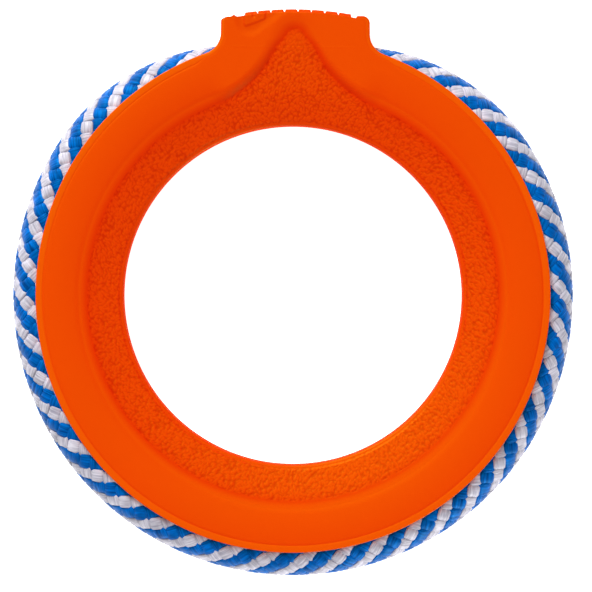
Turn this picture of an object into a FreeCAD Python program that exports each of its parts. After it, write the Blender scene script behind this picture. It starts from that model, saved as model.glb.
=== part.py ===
import FreeCAD, Part
import math
import os
import sys

import Sketcher
from FreeCAD import Placement, Rotation, Vector

# A flying ring that lies flat: the ring's axis is +Z, the tab points to +Y, and the origin is on the axis
# at mid-height. The moulded ring is a flat flange round a thinner web, with a channel round its rim. A
# braided rope lies in the channel and is glued into a blind socket in each side of the tab.

DIMENSIONS = {
    # moulded ring, as radii from the axis and heights above the middle plane
    "hole_radius": 69.6,
    "hole_land_half": 6.2,
    "web_edge_radius": 71.4,
    "web_edge_half": 7.6,
    "slope_foot_radius": 84.4,
    "slope_foot_half": 10.4,
    "slope_top_radius": 88.0,
    "flange_half": 12.0,
    "bevel_radius": 102.8,
    "rim_radius": 105.7,
    "rim_half": 11.0,
    # rope and the channel that holds it
    "rope_ring_radius": 106.2,
    "rope_bend_radius": 79.0,
    "rope_end_height": 93.8,
    "rope_end_offset": 22.0,
    "socket_end_offset": 20.0,
    "rope_radius": 9.3,
    "core_radius": 5.6,
    "channel_radius": 9.4,
    "mouth_half": 9.1,
    "mouth_end_offset": 32.6,
    "mouth_outer_radius": 130.0,
    # tab
    "tab_half_width": 30.6,
    "tab_crown_height": 116.3,
    "tab_crown_radius": 137.5,
    "ear_height": 114.9,
    "ear_step_inner": 24.8,
    "ear_step_outer": 25.4,
    "ear_corner_radius": 3.0,
    "flare_radius": 9.0,
    "flare_sink": 0.3,
    "tab_root_offset": 30.0,
    "tab_root_height": 92.0,
    "tab_edge_round": 0.8,
    # raised grip blocks across the tab's outer face
    "block_arc_radius": 125.0,
    "block_arc_top": 117.3,
    "block_arc_offset": 1.0,
    "block_width": 5.0,
    "block_pitch_angle": 2.52,
    "block_rise": 3.0,
    "block_half": 10.4,
    # thumb scoop at one corner of each side of the tab, with a pad left standing in it
    "scoop_offset": 18.6,
    "scoop_height": 112.6,
    "scoop_radius": 6.2,
    "scoop_arc_end": 52.0,
    "scoop_tail_offset": 5.0,
    "scoop_tail_height": 115.5,
    "scoop_top_height": 120.0,
    "scoop_depth": 2.2,
    "pad_outer_offset": 21.0,
    "pad_inner_offset": 12.6,
    "pad_low_height": 110.4,
    "pad_high_height": 113.0,
    "pad_top_height": 118.0,
    # pointed recess that carries the web up into the tab
    "corner_radius": 36.5,
    "apex_radius": 8.1,
    "apex_height": 105.4,
    "flank_angle": 61.9,
    "recess_slope_width": 2.8,
    "recess_overshoot": 0.5,
}
BLOCK_COUNT = 8

# the centre of the rope's end bend, whose circle touches the rope's main circle from inside
BEND_Y = "(dims.rope_end_height - dims.rope_bend_radius)"
BEND_X = f"sqrt((dims.rope_ring_radius - dims.rope_bend_radius)^2 - {BEND_Y}^2)"
BEND_SHARE = "dims.rope_ring_radius / (dims.rope_ring_radius - dims.rope_bend_radius)"

# the centre of the flare between the tab's side and the rim
FLARE_REACH = "(dims.rim_radius - dims.flare_sink + dims.flare_radius)"
FLARE_X = "(dims.tab_half_width + dims.flare_radius)"
FLARE_Y = f"sqrt({FLARE_REACH}^2 - {FLARE_X}^2)"
FLARE_SHARE = f"(dims.rim_radius - dims.flare_sink) / {FLARE_REACH}"

# the recess's concave corner, tangent to the web's circle and to the straight flank below the apex
CORNER_REACH = "(dims.slope_top_radius + dims.corner_radius)"
FLANK_SPAN = "(dims.corner_radius + dims.apex_radius + cos(dims.flank_angle) * dims.apex_height)"
CORNER_ANGLE = f"(dims.flank_angle * 1deg - acos({FLANK_SPAN} / {CORNER_REACH}))"

doc = FreeCAD.newDocument("flying_ring")
sheet = doc.addObject("Spreadsheet::Sheet", "dims")
for row, (alias, size) in enumerate(DIMENSIONS.items(), start=1):
    sheet.set(f"A{row}", alias)
    sheet.set(f"B{row}", str(size))
    sheet.setAlias(f"B{row}", alias)
doc.recompute()


def number(text):
    """The value of an expression over the sheet, in millimetres or degrees."""
    return float(sheet.evalExpression(text))


def mirrored(corners):
    """The same corners on the other side of the Y axis, met in the opposite order."""
    return [(f"-({x})", y) for x, y in reversed(corners)]


def new_body(name):
    body = doc.addObject("PartDesign::Body", name)
    body.Label = name
    return body


def origin_feature(body, role):
    return next(item for item in body.Origin.OriginFeatures if item.Role == role)


def new_sketch(body, name, plane="XY_Plane"):
    sketch = body.newObject("Sketcher::SketchObject", name)
    sketch.AttachmentSupport = [(origin_feature(body, plane), "")]
    sketch.MapMode = "FlatFace"
    return sketch


def bind(sketch, constraint, text):
    """Adds a dimensional constraint and ties its value to an expression."""
    index = sketch.addConstraint(Sketcher.Constraint(*constraint, number(text)))
    sketch.setExpression(f"Constraints[{index}]", text)


def place_point(sketch, edge, end, x, y):
    bind(sketch, ("DistanceX", -1, 1, edge, end), x)
    bind(sketch, ("DistanceY", -1, 1, edge, end), y)


def add_outline(sketch, corners, arcs=None, closed=True):
    """Straight and curved edges through corners given as pairs of expressions. arcs holds the radius of an
    edge that is an arc, by the index of the corner it leaves, and its turn: 1 counterclockwise, -1
    clockwise, or 2 and -2 for one that is more than half a circle."""
    arcs = arcs or {}
    points = [Vector(number(x), number(y), 0) for x, y in corners]
    edges = []
    for index in range(len(points) if closed else len(points) - 1):
        start, end = points[index], points[(index + 1) % len(points)]
        if index not in arcs:
            edge = sketch.addGeometry(Part.LineSegment(start, end), False)
            edges.append((edge, 1, 2))
            continue
        radius, turn = arcs[index]
        chord = end - start
        rise = math.sqrt(number(radius) ** 2 - chord.Length**2 / 4)
        sagitta = number(radius) + (rise if abs(turn) == 2 else -rise)
        outward = Vector(chord.y, -chord.x, 0).normalize() * math.copysign(sagitta, turn)
        curve = Part.Arc(start, (start + end) * 0.5 + outward, end)
        edge = sketch.addGeometry(curve, False)
        bind(sketch, ("Radius", edge), radius)
        edges.append((edge, 1, 2) if turn > 0 else (edge, 2, 1))
    for index, (x, y) in enumerate(corners[: len(edges)]):
        edge, first, _ = edges[index]
        place_point(sketch, edge, first, x, y)
        if closed or index:
            before, _, last = edges[index - 1]
            join(sketch, before, last, edge, first)
    if not closed:
        place_point(sketch, edges[-1][0], edges[-1][2], *corners[-1])


def join(sketch, edge, end, other, other_end):
    sketch.addConstraint(Sketcher.Constraint("Coincident", edge, end, other, other_end))


def add_symmetric(body, kind, name, sketch, half):
    """A pad or pocket that reaches the same distance on both sides of its sketch."""
    feature = body.newObject(f"PartDesign::{kind}", name)
    feature.Profile = sketch
    feature.SideType = "Symmetric"
    feature.setExpression("Length", f"2 * {half}")
    return feature


def require_cut(body, feature, before):
    """Stops when a cut removed nothing, which shows no error of its own. Returns the volume that is left."""
    doc.recompute()
    if not 0 < body.Shape.Volume < before:
        sys.exit(f"{feature.Name} removed nothing")
    return body.Shape.Volume


# ---------------------------------------------------------------- rope centreline
def rope_path(body, name, end_offset):
    """A straight run out of each socket, an end bend, and one large circle between the bends."""
    right = [
        (end_offset, "dims.rope_end_height"),
        (BEND_X, "dims.rope_end_height"),
        (f"{BEND_X} * {BEND_SHARE}", f"{BEND_Y} * {BEND_SHARE}"),
    ]
    arcs = {
        1: ("dims.rope_bend_radius", -1),
        2: ("dims.rope_ring_radius", -2),
        3: ("dims.rope_bend_radius", -1),
    }
    sketch = new_sketch(body, name)
    add_outline(sketch, right + mirrored(right), arcs, closed=False)
    return sketch


def rope_section(body, name, offset, radius):
    """A circle round the rope's centreline, across one of its straight ends."""
    section = new_sketch(body, f"{name}_section", "YZ_Plane")
    section.setExpression("AttachmentOffset.Base.z", offset)
    centre = Vector(number("dims.rope_end_height"), 0, 0)
    edge = section.addGeometry(Part.Circle(centre, Vector(0, 0, 1), number(radius)), False)
    section.addConstraint(Sketcher.Constraint("PointOnObject", edge, 3, -1))
    bind(section, ("DistanceX", -1, 1, edge, 3), "dims.rope_end_height")
    bind(section, ("Radius", edge), radius)
    return section


def add_pipe(body, kind, name, end_offset, radius):
    """Sweeps a circle along the rope's centreline, and adds it to the body or cuts it away."""
    section = rope_section(body, name, end_offset, radius)
    path = rope_path(body, f"{name}_path", end_offset)
    doc.recompute()
    pipe = body.newObject(f"PartDesign::{kind}", name)
    pipe.Profile = section
    pipe.Spine = (path, [f"Edge{index + 1}" for index in range(path.GeometryCount)])
    return pipe


# ---------------------------------------------------------------- moulded ring
def add_ring(body):
    sketch = new_sketch(body, "ring_section", "XZ_Plane")
    upper = [
        ("dims.hole_radius", "dims.hole_land_half"),
        ("dims.web_edge_radius", "dims.web_edge_half"),
        ("dims.slope_foot_radius", "dims.slope_foot_half"),
        ("dims.slope_top_radius", "dims.flange_half"),
        ("dims.bevel_radius", "dims.flange_half"),
        ("dims.rim_radius", "dims.rim_half"),
    ]
    lower = [(x, f"-{y}") for x, y in reversed(upper)]
    add_outline(sketch, upper + lower)
    ring = body.newObject("PartDesign::Revolution", "ring")
    ring.Profile = sketch
    ring.ReferenceAxis = (sketch, ["V_Axis"])
    ring.Angle = 360


def add_tab(body):
    """A block on the rim with a crowned outer edge, an ear at each corner and a flare down to the rim."""
    crown_y = "dims.tab_crown_height - dims.tab_crown_radius"
    corner_x = "dims.tab_half_width - dims.ear_corner_radius"
    right = [
        ("dims.tab_root_offset", "dims.tab_root_height"),
        (f"{FLARE_X} * {FLARE_SHARE}", f"{FLARE_Y} * {FLARE_SHARE}"),
        ("dims.tab_half_width", FLARE_Y),
        ("dims.tab_half_width", "dims.ear_height - dims.ear_corner_radius"),
        (corner_x, "dims.ear_height"),
        ("dims.ear_step_outer", "dims.ear_height"),
        ("dims.ear_step_inner", f"{crown_y} + sqrt(dims.tab_crown_radius^2 - dims.ear_step_inner^2)"),
    ]
    arcs = {
        1: ("dims.flare_radius", -1),
        3: ("dims.ear_corner_radius", 1),
        6: ("dims.tab_crown_radius", 1),
        9: ("dims.ear_corner_radius", 1),
        11: ("dims.flare_radius", -1),
    }
    sketch = new_sketch(body, "tab_outline")
    add_outline(sketch, right + mirrored(right), arcs)
    tab = add_symmetric(body, "Pad", "tab", sketch, "dims.flange_half")
    doc.recompute()
    rounding = body.newObject("PartDesign::Fillet", "tab_rounding")
    rounding.Base = (tab, tab_face_edges(tab.Shape))
    rounding.setExpression("Radius", "dims.tab_edge_round")


def tab_face_edges(shape):
    """The names of the edges round the tab's front and back faces, beyond the ring's rim."""
    half = number("dims.flange_half")
    rim = number("dims.rim_radius")
    names = []
    for index, edge in enumerate(shape.Edges, start=1):
        ends = [vertex.Point for vertex in edge.Vertexes]
        on_face = len(ends) == 2 and abs(abs(ends[0].z + ends[1].z) - 2 * half) < 0.01
        if on_face and all(math.hypot(end.x, end.y) > rim for end in ends):
            names.append(f"Edge{index}")
    return names


def add_grip_blocks(body):
    """Equal blocks side by side along a shallow arc over the tab's outer face."""
    sketch = new_sketch(body, "block_outline")
    first = f"dims.block_pitch_angle * {(BLOCK_COUNT - 1) / 2}"
    sketch.AttachmentOffset = Placement(Vector(0, 0, 0), Rotation(Vector(0, 0, 1), number(first)))
    sketch.setExpression("AttachmentOffset.Rotation.Angle", first)
    sketch.setExpression("AttachmentOffset.Base.x", "dims.block_arc_offset")
    sketch.setExpression("AttachmentOffset.Base.y", "dims.block_arc_top - dims.block_arc_radius")
    low = "dims.block_arc_radius - dims.block_rise"
    right = [("dims.block_width / 2", low), ("dims.block_width / 2", "dims.block_arc_radius")]
    add_outline(sketch, right + mirrored(right))
    block = add_symmetric(body, "Pad", "grip_block", sketch, "dims.block_half")
    row = body.newObject("PartDesign::PolarPattern", "grip_blocks")
    row.Originals = [block]
    row.Axis = (sketch, ["N_Axis"])
    row.Reversed = True
    row.setExpression("Angle", f"dims.block_pitch_angle * {BLOCK_COUNT - 1}")
    row.Occurrences = BLOCK_COUNT
    body.Tip = row


def add_thumb_scoops(body):
    """A shallow dish with a tail along the crown, round a standing pad. There is one at a corner of the
    front, and one at the far corner of the back."""
    sketch = new_sketch(body, "scoop_outline")
    sketch.setExpression("AttachmentOffset.Base.z", "dims.flange_half")
    reach = "-(dims.scoop_offset + dims.scoop_radius)"
    dish = [
        (reach, "dims.scoop_top_height"),
        (reach, "dims.scoop_height"),
        (
            "-dims.scoop_offset + dims.scoop_radius * cos(dims.scoop_arc_end)",
            "dims.scoop_height - dims.scoop_radius * sin(dims.scoop_arc_end)",
        ),
        ("-dims.scoop_tail_offset", "dims.scoop_tail_height"),
        ("-dims.scoop_tail_offset", "dims.scoop_top_height"),
    ]
    add_outline(sketch, dish, {1: ("dims.scoop_radius", 1)})
    pad = [
        ("-dims.pad_outer_offset", "dims.pad_low_height"),
        ("-dims.pad_inner_offset", "dims.pad_high_height"),
        ("-dims.pad_inner_offset", "dims.pad_top_height"),
        ("-dims.pad_outer_offset", "dims.pad_top_height"),
    ]
    add_outline(sketch, pad)
    scoop = body.newObject("PartDesign::Pocket", "scoop")
    scoop.Profile = sketch
    scoop.setExpression("Length", "dims.scoop_depth")
    both = body.newObject("PartDesign::PolarPattern", "scoops")
    both.Originals = [scoop]
    both.Axis = (origin_feature(body, "Y_Axis"), [""])
    both.Angle = 360
    both.Occurrences = 2
    body.Tip = both
    return both


def recess_outline(body, name, height, inset):
    """The recess at one height: concave corners off the web's circle, straight flanks and a round apex."""
    circle = f"(dims.slope_top_radius - {inset})"
    corner = f"(dims.corner_radius + {inset})"
    apex = f"(dims.apex_radius - {inset})"
    right = [
        (f"{circle} * sin({CORNER_ANGLE})", f"{circle} * cos({CORNER_ANGLE})"),
        (
            f"{CORNER_REACH} * sin({CORNER_ANGLE}) - {corner} * sin(dims.flank_angle)",
            f"{CORNER_REACH} * cos({CORNER_ANGLE}) - {corner} * cos(dims.flank_angle)",
        ),
        (f"{apex} * sin(dims.flank_angle)", f"dims.apex_height + {apex} * cos(dims.flank_angle)"),
    ]
    arcs = {0: (corner, -1), 2: (apex, 1), 4: (corner, -1)}
    sketch = new_sketch(body, name)
    sketch.setExpression("AttachmentOffset.Base.z", height)
    add_outline(sketch, right + mirrored(right), arcs)
    return sketch


def add_recess(body):
    """The web's level carried up into the tab with sloped walls, on both sides of the ring."""
    rise = "(dims.flange_half - dims.slope_foot_half)"
    lean = f"dims.recess_slope_width / {rise}"
    floor = recess_outline(body, "recess_floor", "dims.slope_foot_half", "dims.recess_slope_width")
    mouth = recess_outline(
        body,
        "recess_mouth",
        "dims.flange_half + dims.recess_overshoot",
        f"(-dims.recess_overshoot * {lean})",
    )
    recess = body.newObject("PartDesign::SubtractiveLoft", "recess")
    recess.Profile = floor
    recess.Sections = [mouth]
    recess.Ruled = True
    both = body.newObject("PartDesign::Mirrored", "recesses")
    both.Originals = [recess]
    both.MirrorPlane = (origin_feature(body, "XY_Plane"), [""])
    body.Tip = both
    return both


def add_channel_mouth(body):
    """Opens the channel outwards from the rope's centreline, all round but for the tab."""
    wall_y = f"{BEND_Y} + sqrt(dims.rope_bend_radius^2 - (dims.mouth_end_offset - {BEND_X})^2)"
    outer_y = "sqrt(dims.mouth_outer_radius^2 - dims.mouth_end_offset^2)"
    right = [
        ("dims.mouth_end_offset", outer_y),
        ("dims.mouth_end_offset", wall_y),
        (f"{BEND_X} * {BEND_SHARE}", f"{BEND_Y} * {BEND_SHARE}"),
    ]
    arcs = {
        1: ("dims.rope_bend_radius", -1),
        2: ("dims.rope_ring_radius", -2),
        3: ("dims.rope_bend_radius", -1),
        5: ("dims.mouth_outer_radius", 2),
    }
    sketch = new_sketch(body, "mouth_outline")
    add_outline(sketch, right + mirrored(right), arcs)
    return add_symmetric(body, "Pocket", "channel_mouth", sketch, "dims.mouth_half")


def make_ring_body():
    body = new_body("ring_body")
    add_ring(body)
    add_tab(body)
    add_grip_blocks(body)
    doc.recompute()
    volume = body.Shape.Volume
    volume = require_cut(body, add_thumb_scoops(body), volume)
    volume = require_cut(body, add_recess(body), volume)
    channel = add_pipe(body, "SubtractivePipe", "channel", "dims.socket_end_offset", "dims.channel_radius")
    volume = require_cut(body, channel, volume)
    require_cut(body, add_channel_mouth(body), volume)
    return body


# ---------------------------------------------------------------- rope
def path_length(end_offset):
    """The centreline's length between its two ends."""
    bend = math.acos(number(BEND_Y) / number("dims.rope_ring_radius - dims.rope_bend_radius"))
    straight = number(f"{BEND_X} - {end_offset}")
    bent = number("dims.rope_bend_radius") * bend
    return 2 * (straight + bent) + number("dims.rope_ring_radius") * 2 * (math.pi - bend)


def require_tube(body, section):
    """Stops when a tube's volume isn't its section times its length."""
    doc.recompute()
    wanted = section * path_length("dims.rope_end_offset")
    if abs(body.Shape.Volume / wanted - 1) > 0.002:
        sys.exit(f"{body.Label} holds {body.Shape.Volume:.0f} cubic mm, not {wanted:.0f}")


def make_rope_sheath():
    """The braided cover, as the tube that its strands fill."""
    body = new_body("rope_sheath")
    add_pipe(body, "AdditivePipe", "cover", "dims.rope_end_offset", "dims.rope_radius")
    doc.recompute()
    volume = body.Shape.Volume
    bore = add_pipe(body, "SubtractivePipe", "cover_bore", "dims.rope_end_offset", "dims.core_radius")
    require_cut(body, bore, volume)
    require_tube(body, math.pi * (number("dims.rope_radius^2 - dims.core_radius^2")))
    return body


def make_rope_core():
    """The straight filler yarns inside the braid."""
    body = new_body("rope_core")
    add_pipe(body, "AdditivePipe", "filler", "dims.rope_end_offset", "dims.core_radius")
    require_tube(body, math.pi * number("dims.core_radius^2"))
    return body


def make_adhesive_plug(name, side):
    """The glue between the blind end of a socket and the end of the rope."""
    body = new_body(name)
    low_end = "dims.socket_end_offset" if side > 0 else "-dims.rope_end_offset"
    plug = body.newObject("PartDesign::Pad", f"{name}_pad")
    plug.Profile = rope_section(body, name, low_end, "dims.channel_radius")
    plug.setExpression("Length", "dims.rope_end_offset - dims.socket_end_offset")
    return body


# ---------------------------------------------------------------- build, test and write
bodies = [
    make_ring_body(),
    make_rope_sheath(),
    make_rope_core(),
    make_adhesive_plug("adhesive_plug_left", -1),
    make_adhesive_plug("adhesive_plug_right", 1),
]
doc.recompute()
faults = [item.Name for item in doc.Objects if {"Invalid", "Error"} & set(item.State)]
faults += [body.Label for body in bodies if body.Shape.isNull() or not body.Shape.isValid()]
if faults:
    sys.exit("failed: " + ", ".join(faults))
os.makedirs("parts", exist_ok=True)
for body in bodies:
    solids = body.Shape.Solids
    box = body.Shape.BoundBox
    volume = body.Shape.Volume
    print(f"{body.Label}: {len(solids)} solid, {volume:.0f} mm3, z {box.ZMin:.2f} to {box.ZMax:.2f}")
    body.Shape.exportStep(f"parts/{body.Label}.step")
print(f"rope length {path_length('dims.rope_end_offset'):.1f} mm")
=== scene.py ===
import math

import bmesh
import bpy
import numpy as np
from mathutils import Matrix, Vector


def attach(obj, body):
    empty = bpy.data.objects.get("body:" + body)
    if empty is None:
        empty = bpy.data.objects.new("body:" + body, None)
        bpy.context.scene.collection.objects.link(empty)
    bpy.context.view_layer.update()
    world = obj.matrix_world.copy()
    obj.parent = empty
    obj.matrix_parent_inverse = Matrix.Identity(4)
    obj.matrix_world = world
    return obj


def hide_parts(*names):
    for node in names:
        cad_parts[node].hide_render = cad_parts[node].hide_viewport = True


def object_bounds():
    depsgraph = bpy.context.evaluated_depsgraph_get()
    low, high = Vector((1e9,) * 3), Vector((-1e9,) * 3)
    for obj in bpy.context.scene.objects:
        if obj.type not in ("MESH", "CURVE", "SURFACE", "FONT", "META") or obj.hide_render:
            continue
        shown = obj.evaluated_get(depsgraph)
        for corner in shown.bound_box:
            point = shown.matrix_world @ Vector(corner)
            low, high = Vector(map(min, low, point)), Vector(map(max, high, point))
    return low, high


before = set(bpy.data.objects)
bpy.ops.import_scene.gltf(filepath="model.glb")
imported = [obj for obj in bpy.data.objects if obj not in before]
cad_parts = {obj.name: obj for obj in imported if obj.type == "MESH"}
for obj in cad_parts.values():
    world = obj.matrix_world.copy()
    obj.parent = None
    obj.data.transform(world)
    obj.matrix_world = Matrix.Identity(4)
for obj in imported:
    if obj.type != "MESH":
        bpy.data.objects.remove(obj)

# Lengths in this file are millimetres in the CAD frame and become metres where a mesh is made.
MM = 0.001
cad_low, cad_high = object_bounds()

# ---------------------------------------------------------------- driving dimensions
HOLE_RADIUS = 69.6
HOLE_LAND_HALF = 6.2
HOLE_ROUND = 1.8
WEB_EDGE_HALF = 7.4
FOOT_RADIUS = 84.4
FOOT_HALF = 10.4
SPIRE_RISE = 0.7
WEB_TO_SPIRE_SOFT = 6.0
SLOPE_TOP_RADIUS = 88.0
FLANGE_HALF = 12.0
FLANGE_CROWN = 0.8
FLANGE_CREST_RADIUS = 99.5
RIM_RADIUS = 105.7
BEVEL_DROP = 0.05
TAB_BEVEL_DROP = 0.3
BEVEL_STEP = 0.12
BEVEL_STEP_WIDTH = 0.28
BEVEL_WIDTH = 2.9
TAB_BEVEL_WIDTH = 1.7
EDGE_ROUND = 0.35
CROWN_ROUND = 0.2

ROPE_RING_RADIUS = 106.2
ROPE_BEND_RADIUS = 79.0
ROPE_END_HEIGHT = 93.8
ROPE_END_OFFSET = 22.0
BEND_Y = ROPE_END_HEIGHT - ROPE_BEND_RADIUS
BEND_X = math.sqrt((ROPE_RING_RADIUS - ROPE_BEND_RADIUS) ** 2 - BEND_Y**2)
CHANNEL_RADIUS = 9.4
MOUTH_OFFSET = 31.7
SOCKET_OFFSET = 20.0
SOCKET_WALL = 0.35

TAB_HALF_WIDTH = 30.6
CROWN_HEIGHT = 116.3
CROWN_RADIUS = 137.5
EAR_HEIGHT = 114.9
EAR_INNER = 24.8
EAR_OUTER = 25.4
EAR_CORNER = 3.0
FLARE_RADIUS = 9.0

BLOCK_COUNT = 8
BLOCK_WIDTH = 5.0
BLOCK_PITCH = 5.5
BLOCK_OFFSET = 1.0
BLOCK_HALF = 12.2
BLOCK_RELIEF = 1.15
BLOCK_SOFT = 0.3

CORNER_RADIUS = 36.5
APEX_RADIUS = 8.1
APEX_HEIGHT = 105.4
FLANK_ANGLE = math.radians(61.9)
CORNER_CENTRE_ANGLE = math.radians(21.1)
SLOPE_WIDTH = SLOPE_TOP_RADIUS - FOOT_RADIUS
FLANK_SLOPE_WIDTH = 2.8
APEX_SLOPE_WIDTH = 4.0
SLOPE_FOOT_SOFT = 0.1
SLOPE_TOP_SOFT = 0.5
CORNER_BLEND_ANGLE = 0.12

SCOOP_CENTRE = (-18.6, 112.6)
SCOOP_RADIUS = 6.2
SCOOP_TAIL = (-4.2, 116.3)
SCOOP_DEPTH = 0.3
SCOOP_SOFT = 3.4
PAD_OUTER = -21.2
PAD_INNER = -12.3
PAD_LOW = 110.2
PAD_HIGH = 112.9
PAD_CORNER = 1.3
PAD_SLOT = -17.1
PAD_SLOT_LOW = 114.0
PAD_SLOT_HALF = 0.4
EAR_PEAK = -25.2
EAR_PEAK_RISE = 0.8
EAR_PEAK_WIDTH = 0.8
LEFT_EAR_DROP = 0.7

SEAM_Y = 101.9
SEAM_HALF_WIDTH = 0.35
SEAM_HALF_LENGTH = 28.5
SEAM_END_SOFT = 2.0

WORM_PITCH = 2.3
WORM_HEIGHT = 0.15
WORM_SEED = 11
WORM_BAND = 0.34
WORM_LINE = 0.85

# the rubber's tone, with painted light and shade: 0 in the texture's valleys, which are painted shade, this
# much on plain faces, up to 1 on edges with a painted highlight
PLAIN_TONE = 0.5
# the hole's wall is painted lighter: painted light
WALL_PAINTED_LIGHT = 0.8
PLAIN_GLOSS = 0.5
# painted shade in the crease at the slope's foot, reaching inwards and outwards
CREASE_INWARD = 2.2
CREASE_OUTWARD = 1.4
CREASE_PAINTED_SHADE = 0.12
# painted highlight along the slope's top edge
BROW_DEPTH = 0.3
BROW_WIDTH = 0.8
BROW_PAINTED_HIGHLIGHT = 0.07
# painted highlight on the rim's bevel band
RIM_PAINTED_HIGHLIGHT = 0.3
# painted shade in the scoop at the tab's left corner
SCOOP_PAINTED_SHADE = 0.1

# mesh spacing
TAB_HALF_ANGLE = math.radians(24.0)
TAB_BLEND_ANGLE = 0.06
TAB_STEP = 0.36
RING_COLUMNS = 1000
WEB_ROWS = 34
OUTER_ROWS = 66
WALL_ROWS = 48
LIP_ROWS = 5
SHELF_ROWS = 4
SOCKET_ROWS = 6
FINE_STEP = 0.1


def smooth(t):
    t = np.clip(t, 0.0, 1.0)
    return t * t * (3.0 - 2.0 * t)


# ---------------------------------------------------------------- moulded texture of the web
GRAIN = 0.2
MAP_SIDE = 1200


def worm_map():
    """A net of wandering valleys, 1 at their floor: where band-passed seeded noise passes through zero."""
    noise = np.random.default_rng(WORM_SEED).standard_normal((MAP_SIDE, MAP_SIDE))
    across = np.fft.rfftfreq(MAP_SIDE, GRAIN)
    along = np.fft.fftfreq(MAP_SIDE, GRAIN)
    wave = np.hypot(along[:, None], across[None, :]) * WORM_PITCH
    band = np.exp(-(((wave - 1.0) / WORM_BAND) ** 2))
    ridges = np.fft.irfft2(np.fft.rfft2(noise) * band, s=noise.shape)
    ridges /= ridges.std()
    strength = smooth(0.8 + 0.5 * np.roll(ridges, MAP_SIDE // 3, axis=0))
    return smooth(1.2 - np.abs(ridges) / WORM_LINE) * strength


WORMS = worm_map()


def worm_depth(x, y):
    """The texture map read between its grid points."""
    column = x / GRAIN + MAP_SIDE / 2
    row = y / GRAIN + MAP_SIDE / 2
    column0, row0 = np.floor(column).astype(int), np.floor(row).astype(int)
    part_x, part_y = column - column0, row - row0
    column0, row0 = column0 % MAP_SIDE, row0 % MAP_SIDE
    column1, row1 = (column0 + 1) % MAP_SIDE, (row0 + 1) % MAP_SIDE
    low = WORMS[row0, column0] * (1 - part_x) + WORMS[row0, column1] * part_x
    high = WORMS[row1, column0] * (1 - part_x) + WORMS[row1, column1] * part_x
    return low * (1 - part_y) + high * part_y


# ---------------------------------------------------------------- outline of the moulded ring
def arc(centre, radius, start, end):
    count = max(2, int(abs(end - start) * radius / FINE_STEP) + 1)
    angles = np.linspace(start, end, count)
    return np.stack([centre[0] + radius * np.cos(angles), centre[1] + radius * np.sin(angles)], 1)


def tab_outline():
    """The right half of the tab's outline, from the crown's middle down to the rim."""
    flare_x = TAB_HALF_WIDTH + FLARE_RADIUS
    flare_y = math.sqrt((RIM_RADIUS + FLARE_RADIUS) ** 2 - flare_x**2)
    crown_end = math.asin(EAR_INNER / CROWN_RADIUS)
    corner_x = TAB_HALF_WIDTH - EAR_CORNER
    corner_y = EAR_HEIGHT - EAR_CORNER
    rim_angle = math.atan2(flare_y, flare_x)
    parts = [
        arc((0, CROWN_HEIGHT - CROWN_RADIUS), CROWN_RADIUS, math.pi / 2, math.pi / 2 - crown_end),
        np.array([[EAR_OUTER, EAR_HEIGHT]]),
        arc((corner_x, corner_y), EAR_CORNER, math.pi / 2, 0),
        arc((flare_x, flare_y), FLARE_RADIUS, math.pi, math.pi + rim_angle),
        arc((0, 0), RIM_RADIUS, rim_angle, math.pi / 2 - TAB_HALF_ANGLE),
    ]
    line = np.concatenate(parts)
    keep = np.concatenate([[True], np.hypot(*np.diff(line, axis=0).T) > 1e-6])
    return line[keep]


def resample(line, count):
    """Evenly spaced points along a line, and the line's length."""
    run = np.concatenate([[0], np.cumsum(np.hypot(*np.diff(line, axis=0).T))])
    at = np.linspace(0, run[-1], count)
    return np.stack([np.interp(at, run, line[:, 0]), np.interp(at, run, line[:, 1])], 1), run[-1]


half_line = tab_outline()
_, half_length = resample(half_line, 2)
half_count = int(round(half_length / TAB_STEP))
right_rim, _ = resample(half_line, half_count + 1)
fine_line, _ = resample(half_line, int(half_length / FINE_STEP))
tab_rim = np.concatenate([right_rim[:0:-1] * [-1, 1], right_rim])
on_left_ear = smooth((-EAR_INNER - tab_rim[:, 0]) / 0.6) * smooth((tab_rim[:, 1] - EAR_HEIGHT + 2.0) / 1.5)
tab_rim[:, 1] -= LEFT_EAR_DROP * on_left_ear
ear_peak = np.exp(-(((tab_rim[:, 0] - EAR_PEAK) / EAR_PEAK_WIDTH) ** 2)) * (tab_rim[:, 1] > 110)
tab_rim[:, 1] += EAR_PEAK_RISE * ear_peak
tab_angles = np.linspace(-TAB_HALF_ANGLE, TAB_HALF_ANGLE, len(tab_rim))
ring_angles = np.linspace(TAB_HALF_ANGLE, 2 * math.pi - TAB_HALF_ANGLE, RING_COLUMNS + 1)


CHUNK = 4000


def edge_distance(x, y):
    """How far a point is inside the outline, and 0 beside the crown to 1 beside the rest of it."""
    radius = np.hypot(x, y)
    distance = RIM_RADIUS - radius
    side = np.ones_like(distance)
    near = (np.abs(np.arctan2(x, y)) < TAB_HALF_ANGLE + 0.02) & (radius > FOOT_RADIUS - 1)
    points = np.stack([np.abs(x[near]), y[near]], 1)
    best = np.full(len(points), 1e9)
    where = np.zeros(len(points), int)
    for start in range(0, len(points), CHUNK):
        chunk = points[start : start + CHUNK]
        gap = np.hypot(chunk[:, None, 0] - fine_line[:, 0], chunk[:, None, 1] - fine_line[:, 1])
        where[start : start + CHUNK] = gap.argmin(1)
        best[start : start + CHUNK] = gap.min(1)
    nearest = fine_line[where]
    distance[near] = best
    side[near] = smooth((nearest[:, 0] - (TAB_HALF_WIDTH - EAR_CORNER)) / EAR_CORNER)
    return distance, side


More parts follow.
